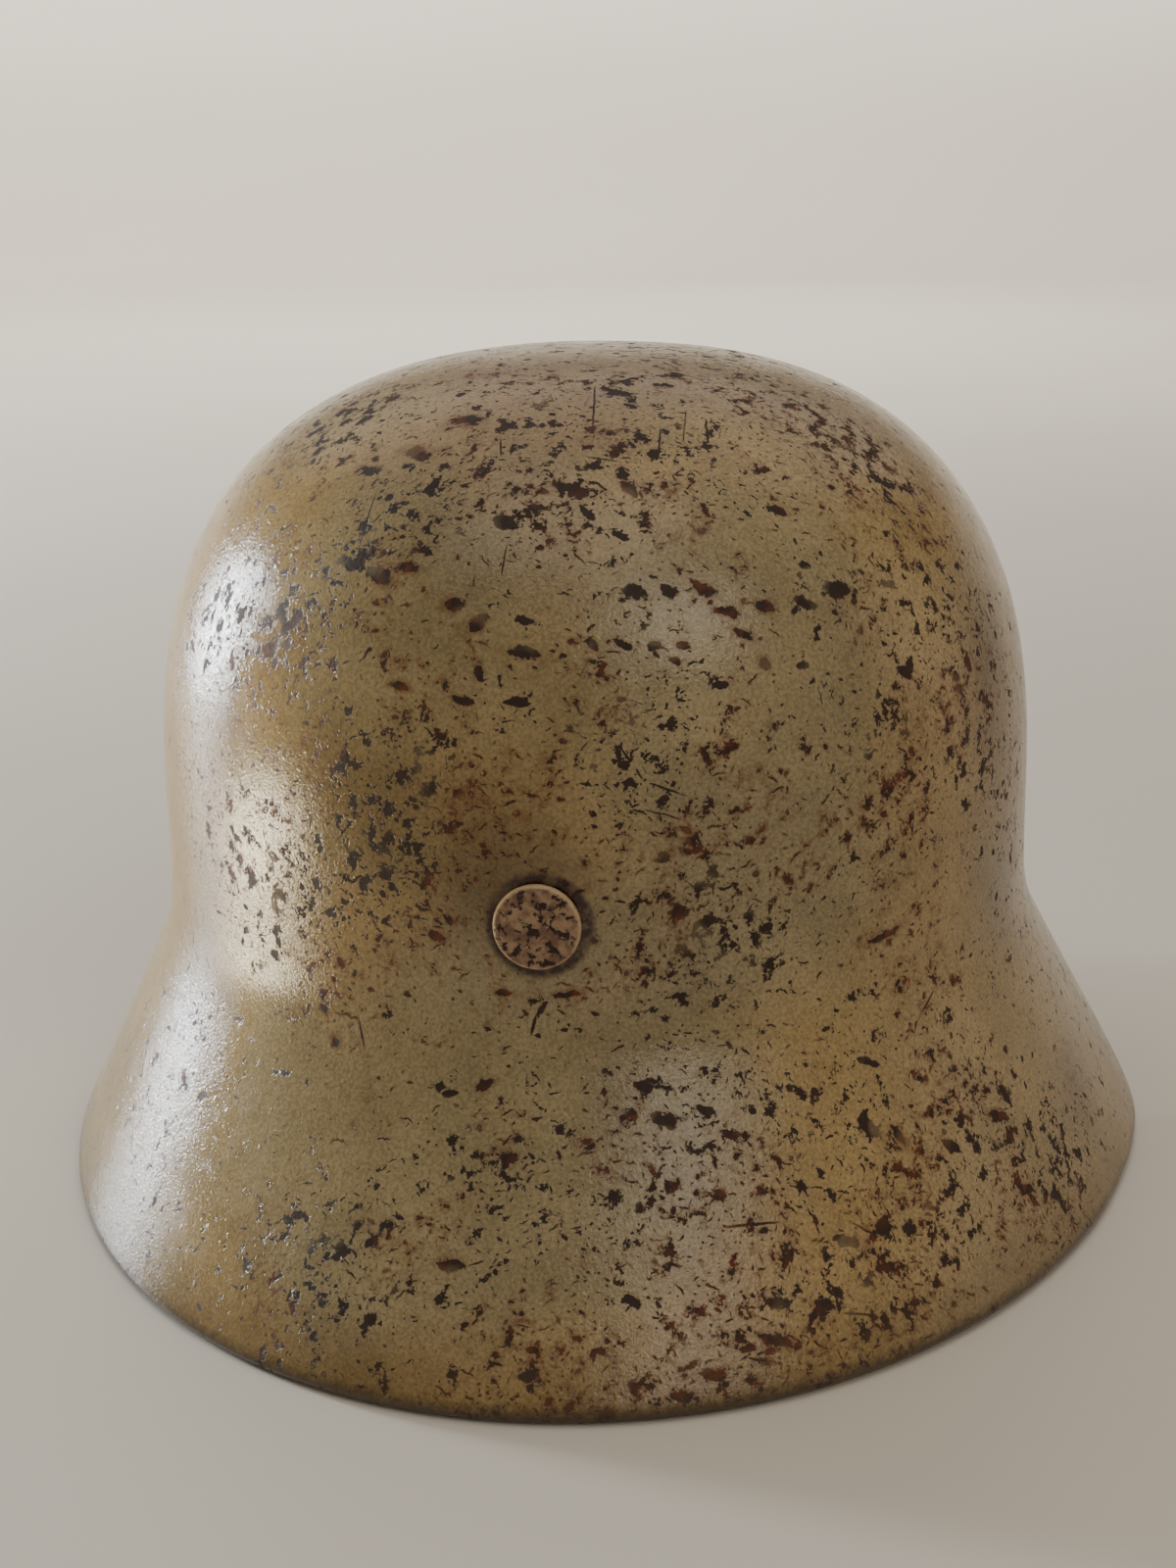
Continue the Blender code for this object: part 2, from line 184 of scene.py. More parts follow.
# %% [markdown]
# ## Where the rust lies
# Rust doesn't spread evenly. It is thick on the crown and down the right of the nape, and
# thin on the left of the skirt, where the paint held. In Blender one would paint this by
# hand in Vertex Paint. Here soft round patches are laid down by their place, size and amount,
# which is one of six, and stored on the vertices as attributes that the material reads. Low
# noise fills in the sides that the camera doesn't see.

# %% Lay soft patches on the vertices
HEAVY, THICK, MEDIUM, SOME, LIGHT, WORN = 1.45, 1.10, 0.80, 0.50, 0.28, -0.30

RUST_PATCHES = (
    # x, y in the frame, radius in mm, how much rust: first the crown
    (600, 420, 20, THICK), (700, 370, 18, MEDIUM), (560, 520, 11, THICK), (700, 480, 12, THICK),
    (440, 500, 12, THICK), (370, 560, 10, MEDIUM), (320, 450, 14, HEAVY), (500, 375, 14, LIGHT),
    (370, 420, 12, MEDIUM), (800, 440, 14, SOME), (860, 450, 12, THICK), (880, 520, 16, LIGHT),
    (760, 385, 10, SOME), (900, 470, 10, MEDIUM),
    # the left of the dome and the hollow below it
    (310, 650, 14, THICK), (250, 640, 12, THICK), (225, 820, 10, SOME), (270, 880, 14, MEDIUM),
    (250, 940, 10, LIGHT), (320, 960, 14, MEDIUM), (340, 860, 10, LIGHT), (400, 850, 14, HEAVY),
    (430, 740, 12, SOME), (420, 660, 10, WORN), (480, 810, 12, SOME), (430, 960, 12, LIGHT),
    (205, 630, 10, THICK), (190, 760, 8, SOME),
    # the middle
    (650, 760, 14, THICK), (600, 870, 10, WORN), (720, 880, 16, MEDIUM), (720, 960, 12, HEAVY),
    (640, 1000, 10, LIGHT), (600, 1080, 12, LIGHT),
    # the right of the dome
    (850, 602, 8, THICK), (960, 600, 16, MEDIUM), (860, 700, 16, SOME), (960, 720, 16, MEDIUM),
    (1010, 800, 14, THICK), (900, 820, 14, THICK), (880, 760, 12, WORN), (1030, 900, 10, SOME),
    (1005, 640, 10, SOME), (1025, 700, 8, LIGHT),
    # the skirt, from left to right
    (195, 1050, 12, SOME), (145, 1180, 10, SOME), (175, 1250, 8, SOME), (320, 1300, 12, HEAVY),
    (460, 1240, 14, MEDIUM), (460, 1400, 14, LIGHT), (550, 1170, 11, SOME), (560, 1420, 12, HEAVY),
    (640, 1260, 12, THICK), (600, 1340, 12, WORN), (740, 1150, 14, THICK), (720, 1390, 12, THICK),
    (820, 1150, 10, SOME), (840, 1320, 14, THICK), (880, 1390, 12, SOME), (900, 1060, 14, SOME),
    (940, 1250, 14, HEAVY), (980, 1050, 12, SOME), (1000, 1150, 12, HEAVY), (1080, 1180, 12, HEAVY),
    (1060, 1230, 10, THICK), (1110, 1130, 8, SOME),
)
RUST_BASE = 0.30
RUST_DRIFT = 0.90
DRIFT_SIZE = 0.040
FAR_RUST = 0.45
FAR_CROWN_RUST = 0.80
CROWN_FROM, CROWN_RISE = 0.125, 0.045
TOWARDS_CAMERA = Vector((-0.11, 0.99, 0))
SEAM = 0.05
PATCH_FADE = 2


def soft_patches(point, patches):
    """The sum of all patches at a point, each fading out from its middle."""
    total = 0.0
    for centre, radius, amount in patches:
        share = 1 - (point - centre).length / radius
        if share > 0:
            total += amount * share * share * (3 - 2 * share)
    return total


def store(piece, name, kind, values):
    """Stores one value for each vertex as a named attribute."""
    layer = piece.data.attributes.new(name, kind, "POINT")
    layer.data.foreach_set("value" if kind == "FLOAT" else "vector", values)


def on_steel(rows):
    """Turns patch rows from pixels and millimetres into points and metres."""
    return [(photo_point(x, y)[0], radius * MM * PATCH_FADE, amount) for x, y, radius, amount in rows]


def seen(point):
    """1 on the side that the photograph shows, 0 on the far side, with a soft seam between."""
    return min(1.0, max(0.0, 0.5 + point.dot(TOWARDS_CAMERA) / SEAM))


rust_rows = on_steel(RUST_PATCHES)
rust = []
for vertex in helmet.data.vertices:
    drift = noise.noise(vertex.co / DRIFT_SIZE) + 0.5 * noise.noise(vertex.co / DRIFT_SIZE * 2.3)
    far = 1 - seen(vertex.co)
    crown = max(0.0, (vertex.co.z - CROWN_FROM) / CROWN_RISE)
    rust.append(RUST_BASE + soft_patches(vertex.co, rust_rows) + (0.3 + 0.7 * far) * RUST_DRIFT * drift
                + far * (FAR_RUST + FAR_CROWN_RUST * crown))
store(helmet, "rust_spread", "FLOAT", rust)
outward = []
for vertex in helmet.data.vertices:
    outward.extend(vertex.normal)
store(helmet, "outward", "FLOAT_VECTOR", outward)
print("rust patches:", len(rust_rows), "amount from", round(min(rust), 2), "to", round(max(rust), 2))

# %% Lay the tones of the old paint
TONE_PATCHES = (
    # x, y, radius in mm, amount: above 0 is pinkish brown, below 0 is olive grey
    (330, 580, 18, -0.6),
    (330, 730, 14, -0.5),
    (260, 1150, 18, -0.9),
    (275, 1055, 10, -0.6),
    (320, 1200, 14, -0.5),
    (330, 1310, 14, -0.6),
    (420, 540, 18, -0.5),
    (440, 700, 14, -0.4),
    (400, 1130, 20, -0.8),
    (450, 1270, 20, -0.7),
    (250, 1030, 18, 0.3),
    (620, 430, 40, 0.4),
    (700, 640, 26, -0.7),
    (560, 650, 22, -0.3),
    (820, 760, 26, -0.4),
    (520, 980, 16, -0.3),
    (940, 690, 24, 0.1),
    (560, 1140, 26, -0.8),
    (700, 1220, 24, -0.3),
    (860, 1240, 22, 0.3),
    (380, 1220, 30, 0.1),
    (780, 880, 20, -0.4),
    (800, 530, 24, -0.5),
    (840, 1240, 20, -0.4),
)
tone_rows = on_steel(TONE_PATCHES)
tone = [soft_patches(v.co, tone_rows) + 0.5 * noise.noise(v.co / 0.05 + Vector((7, 3, 1)))
        for v in helmet.data.vertices]
store(helmet, "paint_tone", "FLOAT", tone)
print("tone patches:", len(tone_rows))

# %% Lay the painted shade and painted light on the paint
PAINTED_SHADING_PATCHES = (
    # x, y, radius in mm, amount: above 0 is darker, painted shade, and below 0 is paler, painted light
    (340, 800, 12, 0.9), (340, 920, 12, 0.4), (460, 870, 15, 1.0), (550, 910, 13, 0.7),
    (1005, 640, 12, 0.9), (1020, 710, 12, 0.5), (1020, 800, 12, 0.6), (1020, 920, 12, 0.9),
    (1100, 1120, 10, 1.1), (1040, 1150, 10, 0.3), (1070, 1220, 10, 0.3), (950, 850, 10, 0.3),
    (560, 450, 12, 0.2), (740, 720, 14, -0.5), (800, 490, 16, -0.4), (700, 540, 14, -0.3),
    (880, 560, 14, -0.3), (850, 1080, 14, -0.5), (870, 1290, 16, -0.6), (430, 1170, 20, -0.3),
    (260, 1150, 16, -0.3), (340, 1300, 14, -0.3), (480, 1320, 16, -0.3), (540, 1410, 12, -0.3),
)
painted_shading_rows = on_steel(PAINTED_SHADING_PATCHES)
# Painted shade and painted light, stored on the vertices
store(helmet, "painted_light_and_shade", "FLOAT", [soft_patches(v.co, painted_shading_rows) for v in helmet.data.vertices])
print("shade patches:", len(painted_shading_rows))

# %% [markdown]
# ## Building materials by script
# A node tree written by script soon gets long, so small helpers do the wiring. They add any
# node with its settings and links, a Math or Vector Math node, a ramp, a mix of two colours,
# and the start and the end of a material. Effects that several finishes share become node
# groups with named inputs and outputs.

# %% Wiring helpers
def add(tree, kind, links=None, **settings):
    """Adds a shader node, sets its properties, and links or fills its inputs."""
    made = tree.nodes.new("ShaderNode" + kind)
    for key, value in settings.items():
        setattr(made, key, value)
    for socket, source in (links or {}).items():
        if isinstance(source, bpy.types.NodeSocket):
            tree.links.new(source, made.inputs[socket])
        else:
            made.inputs[socket].default_value = source
    return made


def calc(tree, operation, a, b=0.0, c=0.0):
    """A Math node's result."""
    return add(tree, "Math", {0: a, 1: b, 2: c}, operation=operation).outputs[0]


def vec(tree, operation, a, b=(0, 0, 0)):
    """A Vector Math node's result: a vector, or a number where it measures one."""
    made = add(tree, "VectorMath", {0: a, 1: b}, operation=operation)
    return made.outputs["Value" if operation in ("DOT_PRODUCT", "LENGTH", "DISTANCE") else "Vector"]


def scaled(tree, vector, factor):
    """A vector times a number."""
    return add(tree, "VectorMath", {0: vector, "Scale": factor}, operation="SCALE").outputs["Vector"]


def ramp(tree, value, low, high, start=0.0, end=1.0):
    """Maps low..high to start..end with soft shoulders, held at both ends."""
    ends = {"Value": value, "From Min": low, "From Max": high, "To Min": start, "To Max": end}
    return add(tree, "MapRange", ends, interpolation_type="SMOOTHSTEP", clamp=True).outputs["Result"]


def blend(tree, share, a, b, how="MIX"):
    """Mixes two colours."""
    return add(tree, "Mix", {0: share, 6: a, 7: b}, data_type="RGBA", blend_type=how).outputs[2]


def tinted(tree, colour, mask, dark, pale):
    """Multiplies a colour by a tint that goes from dark to pale as the mask rises."""
    return blend(tree, 1.0, colour, blend(tree, ramp(tree, mask, 0.3, 0.7), dark, pale), "MULTIPLY")


def group_of(name, inputs, outputs):
    """A new node group with named inputs (name, kind, value) and outputs (name, kind)."""
    tree = bpy.data.node_groups.new(name, "ShaderNodeTree")
    for label, kind, value in inputs:
        socket = tree.interface.new_socket(label, in_out="INPUT", socket_type="NodeSocket" + kind)
        if value is not None:
            socket.default_value = value
    for label, kind in outputs:
        tree.interface.new_socket(label, in_out="OUTPUT", socket_type="NodeSocket" + kind)
    entry = tree.nodes.new("NodeGroupInput").outputs
    leave = tree.nodes.new("NodeGroupOutput").inputs
    return tree, entry, leave


def use(tree, group, **links):
    """Places a group in a tree; underscores in the names stand for spaces."""
    made = tree.nodes.new("ShaderNodeGroup")
    made.node_tree = group
    for label, source in links.items():
        socket = label.replace("_", " ")
        if isinstance(source, bpy.types.NodeSocket):
            tree.links.new(source, made.inputs[socket])
        else:
            made.inputs[socket].default_value = source
    return made.outputs


def rgb(red, green, blue):
    """A colour given as it looks on screen (0 to 255), turned into the linear values nodes use."""
    def linear(value):
        value /= 255
        return value / 12.92 if value <= 0.04045 else ((value + 0.055) / 1.055) ** 2.4
    return (linear(red), linear(green), linear(blue), 1.0)


def new_material(name):
    """An empty material, its tree, and the object position that its patterns start from."""
    material = bpy.data.materials.new(name)
    material.use_nodes = True
    material.node_tree.nodes.clear()
    position = add(material.node_tree, "TexCoord").outputs["Object"]
    return material, material.node_tree, position


def worn_finish(tree, colour, chip, grain, sunk, relief, matt):
    """Ends a tree with one Principled shader: chips lie lower than the grain and are more matt."""
    strength, distance = relief
    height = calc(tree, "MULTIPLY_ADD", chip, -sunk, grain)
    bump = add(tree, "Bump", {"Strength": strength, "Distance": distance, "Height": height})
    roughness = ramp(tree, chip, 0.0, 1.0, *matt)
    steel = add(tree, "BsdfPrincipled", {"Base Color": colour, "Roughness": roughness,
                                         "Normal": bump.outputs[0]})
    add(tree, "OutputMaterial", {"Surface": steel.outputs[0]})


print("helpers ready")

# %% [markdown]
# ## Ragged edges
# Rust eats along scratches and bubbles, so no chip has a clean outline. Shifting the
# coordinates with a fine fractal noise before anything is drawn gives every edge that bite.

# %% Node group: ragged coordinates
ragged, entry, leave = group_of(
    "ragged_position",
    (("Position", "Vector", None), ("Bite", "Float", 0.001), ("Grain", "Float", 400.0)),
    (("Position", "Vector"),))
bite = add(ragged, "TexNoise", {"Vector": entry["Position"], "Scale": entry["Grain"], "Detail": 2.5,
                                "Roughness": 0.6})
shift = scaled(ragged, vec(ragged, "SUBTRACT", bite.outputs["Color"], (0.5, 0.5, 0.5)), entry["Bite"])
ragged.links.new(vec(ragged, "ADD", entry["Position"], shift), leave["Position"])
print("group:", ragged.name)

# %% [markdown]
# ## Loose chips
# A Voronoi texture splits space into cells and gives each one a middle and a random colour.
# One chip is drawn in each cell: the random colour decides whether it is there, how big it is
# and which way it points, and the outward direction keeps it flat on the steel. Long thin
# chips read as splinters and short ones as blots.

# %% Node group: loose chips
chips, entry, leave = group_of(
    "loose_chips",
    (("Position", "Vector", None), ("Outward", "Vector", None), ("Cells", "Float", 200.0),
     ("Share", "Float", 0.3), ("Length", "Float", 0.002), ("Width", "Float", 0.001), ("Bow", "Float", 0.0)),
    (("Depth", "Float"),))
cell = add(chips, "TexVoronoi", {"Vector": entry["Position"], "Scale": entry["Cells"], "Randomness": 1.0},
           voronoi_dimensions="3D", feature="F1")
offset = vec(chips, "SUBTRACT", entry["Position"], cell.outputs["Position"])
random = vec(chips, "SUBTRACT", cell.outputs["Color"], (0.5, 0.5, 0.5))
side = vec(chips, "NORMALIZE", vec(chips, "CROSS_PRODUCT", entry["Outward"], random))
ahead = vec(chips, "CROSS_PRODUCT", side, entry["Outward"])
along = vec(chips, "DOT_PRODUCT", offset, ahead)
bow = calc(chips, "MULTIPLY", calc(chips, "MULTIPLY", along, along), entry["Bow"])
across = calc(chips, "ADD", vec(chips, "DOT_PRODUCT", offset, side), bow)
long_part = calc(chips, "DIVIDE", along, entry["Length"])
wide_part = calc(chips, "DIVIDE", across, entry["Width"])
radius = calc(chips, "SQRT", calc(chips, "ADD", calc(chips, "MULTIPLY", long_part, long_part),
                                  calc(chips, "MULTIPLY", wide_part, wide_part)))
parts = add(chips, "SeparateColor", {0: cell.outputs["Color"]})
spare = calc(chips, "DIVIDE", calc(chips, "SUBTRACT", entry["Share"], parts.outputs[0]),
             calc(chips, "MAXIMUM", entry["Share"], 0.001))
SMALLEST = 0.35
size = calc(chips, "MULTIPLY_ADD", spare, 1 - SMALLEST, SMALLEST)
size = calc(chips, "MULTIPLY", calc(chips, "GREATER_THAN", spare, 0.0), size)
radius = calc(chips, "DIVIDE", radius, calc(chips, "MAXIMUM", size, 0.001))
chips.links.new(calc(chips, "SUBTRACT", 1.0, radius), leave["Depth"])
print("group:", chips.name)

# %% [markdown]
# ## Clusters of rust
# Where the paint has lifted, rust spreads in ragged clusters with specks around them. A
# fractal noise that is cut off above a threshold looks just like that, and lowering the
# threshold makes the clusters grow together.

# %% Node group: rust clusters
clusters, entry, leave = group_of(
    "rust_clusters",
    (("Position", "Vector", None), ("Grain", "Float", 250.0), ("Share", "Float", 0.3)),
    (("Depth", "Float"),))
fractal = add(clusters, "TexNoise", {"Vector": entry["Position"], "Scale": entry["Grain"], "Detail": 5.0,
                                     "Roughness": 0.62, "Lacunarity": 2.1})
CUT, CUT_PER_SHARE, STEEPNESS = 0.674, -0.076, 9.0
threshold = calc(clusters, "MULTIPLY_ADD", entry["Share"], CUT_PER_SHARE, CUT)
depth = calc(clusters, "MULTIPLY", calc(clusters, "SUBTRACT", fractal.outputs[0], threshold), STEEPNESS)
clusters.links.new(depth, leave["Depth"])
print("group:", clusters.name)

# %% [markdown]
# ## The grain of sprayed paint
# Sand paint was sprayed on thick and dries with an orange-peel skin, with dust and small
# blisters in it. It is what breaks the highlights into sparkle. Two sizes of noise make the
# skin, and small Voronoi domes make the blisters.

# %% Node group: orange peel
peel, entry, leave = group_of(
    "orange_peel",
    (("Position", "Vector", None), ("Grain", "Float", 1400.0), ("Blisters", "Float", 0.3)),
    (("Height", "Float"),))
COARSE_GRAIN, BLISTER_GRAIN = 0.22, 0.35
FINE_HEIGHT, COARSE_HEIGHT, BLISTER_HEIGHT = 0.85, 0.5, 0.6
fine = add(peel, "TexNoise", {"Vector": entry["Position"], "Scale": entry["Grain"], "Detail": 2.0,
                              "Roughness": 0.7})
coarse_scale = calc(peel, "MULTIPLY", entry["Grain"], COARSE_GRAIN)
coarse = add(peel, "TexNoise", {"Vector": entry["Position"], "Scale": coarse_scale, "Detail": 1.0})
blister_scale = calc(peel, "MULTIPLY", entry["Grain"], BLISTER_GRAIN)
blister = add(peel, "TexVoronoi", {"Vector": entry["Position"], "Scale": blister_scale}, feature="F1")
dome = ramp(peel, blister.outputs["Distance"], 0.42, 0.05)
chance = add(peel, "SeparateColor", {0: blister.outputs["Color"]}).outputs[0]
dome = calc(peel, "MULTIPLY", dome, calc(peel, "GREATER_THAN", entry["Blisters"], chance))
coarse_height = calc(peel, "MULTIPLY", coarse.outputs[0], COARSE_HEIGHT)
height = calc(peel, "ADD", calc(peel, "MULTIPLY", fine.outputs[0], FINE_HEIGHT), coarse_height)
height = calc(peel, "ADD", height, calc(peel, "MULTIPLY", dome, BLISTER_HEIGHT))
peel.links.new(height, leave["Height"])
print("group:", peel.name)

# %% [markdown]
# ## The marks one knows the helmet by
# The larger chips and scratches are placed one by one. Each row names two ends in the frame
# and a width; the ends are looked up on the steel, which gives the mark its place, its length
# and its lean. A mark is an ellipsoid round that line, so it is a blot or a scratch wherever
# the surface cuts through it.

# %% The table of placed marks
BLOTS = (
    # x, y of one end, x, y of the other end, width in mm
    (456, 617, 472, 617, 2.2), (478, 640, 496, 631, 2.6), (528, 633, 544, 634, 1.6),
    (600, 652, 608, 664, 1.4), (636, 601, 660, 609, 2.6), (676, 600, 690, 606, 2.2),
    (708, 596, 726, 606, 2.8), (730, 622, 752, 626, 2.2), (750, 642, 766, 652, 1.8),
    (774, 616, 788, 622, 2.4), (776, 672, 784, 682, 1.8), (520, 664, 550, 670, 2.2),
    (488, 680, 490, 696, 1.6), (462, 712, 480, 716, 1.6), (516, 716, 540, 718, 1.8),
    (628, 654, 642, 662, 1.8), (690, 656, 702, 660, 1.4), (684, 672, 694, 676, 1.6),
    (726, 702, 742, 696, 1.6), (632, 764, 638, 786, 2.0), (716, 764, 724, 780, 1.6),
    (504, 530, 526, 538, 2.6), (566, 494, 600, 506, 3.0), (590, 516, 606, 530, 1.8),
    (634, 492, 650, 506, 2.0), (626, 542, 640, 550, 1.6), (784, 518, 802, 524, 2.2),
    (712, 544, 720, 540, 1.4), (812, 612, 832, 620, 2.4), (840, 600, 864, 604, 3.4),
    (900, 594, 912, 597, 1.8), (812, 680, 824, 678, 1.8), (916, 682, 930, 690, 2.2),
    (818, 574, 826, 580, 1.6), (350, 573, 372, 577, 3.0), (374, 580, 398, 592, 2.8),
    (408, 578, 426, 580, 2.0), (430, 560, 440, 566, 1.8), (464, 428, 488, 430, 4.0),
    (622, 400, 646, 402, 4.0), (416, 462, 438, 464, 3.6), (370, 480, 386, 482, 3.0),
    (400, 698, 416, 702, 1.6), (502, 1104, 488, 1110, 1.8), (452, 1116, 466, 1116, 1.6),
    (512, 1180, 528, 1182, 2.4), (448, 1290, 472, 1292, 2.2), (300, 1240, 314, 1243, 2.0),
    (342, 1272, 354, 1278, 2.2), (668, 1138, 688, 1148, 2.6), (648, 1106, 664, 1112, 2.2),
    (712, 1130, 728, 1136, 2.0), (738, 1154, 754, 1160, 1.8), (878, 1140, 896, 1160, 3.2),
    (910, 1150, 924, 1168, 1.8), (962, 1164, 980, 1176, 2.2), (776, 1362, 804, 1372, 2.6),
    (756, 1376, 774, 1380, 1.6), (716, 1402, 740, 1406, 1.8), (690, 1424, 708, 1428, 2.4),
    (636, 1326, 652, 1332, 2.0), (1042, 1210, 1054, 1214, 2.0), (876, 1082, 896, 1086, 1.6),
    (1010, 1136, 1030, 1142, 2.2), (832, 1330, 852, 1334, 1.8), (852, 1264, 876, 1270, 2.4),
    (888, 962, 918, 946, 1.6), (700, 856, 716, 868, 2.0), (696, 842, 704, 850, 1.4),
    (440, 952, 452, 958, 1.8), (506, 1012, 522, 1014, 1.2), (566, 1016, 592, 1013, 1.4),
)
SCRATCHES = (
    (385, 500, 367, 562, 0.35), (511, 447, 511, 466, 0.4), (607, 393, 605, 441, 0.45),
    (674, 436, 672, 468, 0.45), (700, 420, 697, 452, 0.4), (720, 427, 722, 452, 0.7),
    (678, 378, 711, 386, 0.5), (517, 556, 511, 588, 0.4), (596, 466, 631, 471, 0.4),
    (631, 759, 657, 797, 0.5), (657, 797, 703, 813, 0.45), (657, 826, 696, 836, 0.35),
    (696, 836, 722, 878, 0.45), (702, 840, 724, 877, 0.5), (940, 1035, 953, 1010, 0.4),
    (585, 564, 598, 576, 0.4), (652, 500, 656, 508, 0.6), (690, 713, 700, 716, 0.5),
    (559, 1022, 548, 1036, 1.0), (548, 1034, 542, 1056, 0.6), (366, 1040, 372, 1068, 0.5),
    (740, 1252, 795, 1247, 0.5), (816, 1206, 825, 1221, 0.6), (764, 1386, 790, 1390, 0.5),
    (860, 1340, 892, 1342, 0.5), (870, 1248, 892, 1260, 0.5),
)

print("placed marks:", len(BLOTS) + len(SCRATCHES))

# %% Give every face its nearest mark
MARK_DEPTH = 2.0 * MM


def mark_frame(x, y, other_x, other_y, width):
    """A mark's middle, its three directions on the steel, and its half length and half width."""
    start, start_normal = photo_point(x, y)
    end, end_normal = photo_point(other_x, other_y)
    lengthways = (end - start).normalized()
    crossways = (start_normal + end_normal).normalized().cross(lengthways).normalized()
    half = (end - start).length / 2
    directions = (lengthways, crossways, lengthways.cross(crossways))
    return (start + end) / 2, directions, (half + width * MM / 4, width * MM / 2)


def lay_marks(piece, rows):
    """Stores, at every face corner, the place inside the nearest mark and that mark's half sizes."""
    mesh = piece.data
    corners = np.empty(len(mesh.loops), np.int32)
    mesh.loops.foreach_get("vertex_index", corners)
    points = np.empty(len(mesh.vertices) * 3, np.float32)
    mesh.vertices.foreach_get("co", points)
    points = points.reshape(-1, 3)
    middles = np.empty(len(mesh.polygons) * 3, np.float32)
    mesh.polygons.foreach_get("center", middles)
    middles = middles.reshape(-1, 3)
    totals = np.empty(len(mesh.polygons), np.int32)
    mesh.polygons.foreach_get("loop_total", totals)
    nearest = np.full(len(middles), 1e9)
    chosen = np.zeros(len(middles), np.int32)
    places, frames, halves = [], [], []
    for number, row in enumerate(rows):
        place, directions, half = mark_frame(*row)
        places.append(place)
        frames.append([list(d) for d in directions])
        halves.append((half[0], half[1], MARK_DEPTH))
        local = (middles - np.array(place)) @ np.array(frames[-1]).T
        beyond = np.maximum(np.abs(local[:, 0]) - (half[0] - half[1]), 0)
        gap = np.sqrt(beyond ** 2 + local[:, 1] ** 2 + local[:, 2] ** 2) - half[1]
        closer = gap < nearest
        nearest[closer] = gap[closer]
        chosen[closer] = number
    of_corner = np.repeat(chosen, totals)
    away = points[corners] - np.array(places)[of_corner]
    local = np.einsum("ij,ikj->ik", away, np.array(frames)[of_corner])
    for name, values in (("mark_place", local), ("mark_size", np.array(halves)[of_corner])):
        layer = mesh.attributes.new(name, "FLOAT_VECTOR", "CORNER")
        layer.data.foreach_set("vector", values.astype(np.float32).ravel())


lay_marks(helmet, BLOTS + SCRATCHES)
print("marks laid on", len(helmet.data.polygons), "faces")

# %% Node group: placed marks
marks, entry, leave = group_of(
    "placed_marks",
    (("Place", "Vector", None), ("Half Size", "Vector", None), ("Position", "Vector", None),
     ("Bite", "Float", 1.5)),
    (("Depth", "Float"),))
nibble = add(marks, "TexNoise", {"Vector": entry["Position"], "Scale": 340.0, "Detail": 4.0,
                                 "Roughness": 0.72})
width = add(marks, "SeparateXYZ", {0: entry["Half Size"]}).outputs[1]
shift = scaled(marks, vec(marks, "SUBTRACT", nibble.outputs["Color"], (0.5, 0.5, 0.5)),
               calc(marks, "MULTIPLY", width, entry["Bite"]))
inside = vec(marks, "DIVIDE", vec(marks, "ADD", entry["Place"], shift), entry["Half Size"])
marks.links.new(calc(marks, "SUBTRACT", 1.0, vec(marks, "LENGTH", inside)), leave["Depth"])
print("group:", marks.name)

# %% [markdown]
# ## Sand paint
# The finish in layers, from the bottom up: ochre paint in three tones that shift from olive
# to pinkish brown, a stain of brown rust around the worst places, and then the chips
# themselves, nearly black with a plum or red cast. The chips are sunk by a Bump node and
# stay matt, while the paint around them keeps a soft gloss.

# %% Middle of each rivet head
DOME_MIDDLE = Vector((0, 0.007, 0))
REAR_HEAD_INSET = 1.7 * MM
SIDE_HEAD_REACH = 3.0 * MM
HEADS = {}
for which in ("rear", "left", "right"):
    low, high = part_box("liner_rivet_" + which)
    HEADS[which] = (low + high) / 2
    if which == "rear":
        HEADS[which].y = high.y - REAR_HEAD_INSET
    else:
        level = DOME_MIDDLE + Vector((0, 0, HEADS[which].z))
        HEADS[which] += (HEADS[which] - level).normalized() * SIDE_HEAD_REACH
    print(which, "rivet head at", [round(v / MM, 1) for v in HEADS[which]])

# %% Colours of the paint and the rust
OCHRE = rgb(162, 138, 95)
OLIVE = rgb(150, 135, 102)
PINKISH = rgb(162, 131, 95)
STAIN = rgb(112, 66, 32)
PLUM = rgb(36, 12, 3)
RED_RUST = rgb(98, 41, 9)
GREY_STEEL = rgb(52, 38, 32)
HEAD_DIRT = rgb(52, 24, 14)
RIM_WEAR_AND_SHADOW = rgb(44, 38, 36)
LOW_BROWN = rgb(84, 62, 36)
CLOUD_TINTS = (0.86, 0.85, 0.82, 1), (1.08, 1.07, 1.05, 1)
SPECKLE_TINTS = (0.82, 0.80, 0.78, 1), (1.12, 1.12, 1.12, 1)
# How far each colour channel darkens under painted shade and pales under painted light
PAINTED_SHADING_TINT = (-0.40, -0.42, -0.48)
print("colours: paint", [round(v, 3) for v in OCHRE[:3]], "rust", [round(v, 3) for v in PLUM[:3]])

# %% Material: the outside of the shell
sand, tree, position = new_material("sand_paint_pitted")
outward = add(tree, "Attribute", attribute_name="outward").outputs["Vector"]
spread = add(tree, "Attribute", attribute_name="rust_spread").outputs["Fac"]
tone = add(tree, "Attribute", attribute_name="paint_tone").outputs["Fac"]

rough_edge = use(tree, ragged, Position=position, Bite=0.0022, Grain=520.0)["Position"]
soft_edge = use(tree, ragged, Position=position, Bite=0.0013, Grain=850.0)["Position"]

# Loose chips in five sizes, and the clusters
LARGE_CHIPS = (
    # cells to the metre, share of cells at spread 0, share added at spread 1, half length, half width, bow
    (100.0, 0.00, 0.11, 0.00130, 0.00090, 0.0),
    (200.0, 0.02, 0.26, 0.00085, 0.00055, 0.0),
)
SMALL_CHIPS = (
    (215.0, 0.04, 0.38, 0.00150, 0.00023, 110.0),
    (340.0, 0.08, 0.42, 0.00080, 0.00023, 0.0),
    (560.0, 0.06, 0.34, 0.00034, 0.00026, 0.0),
)


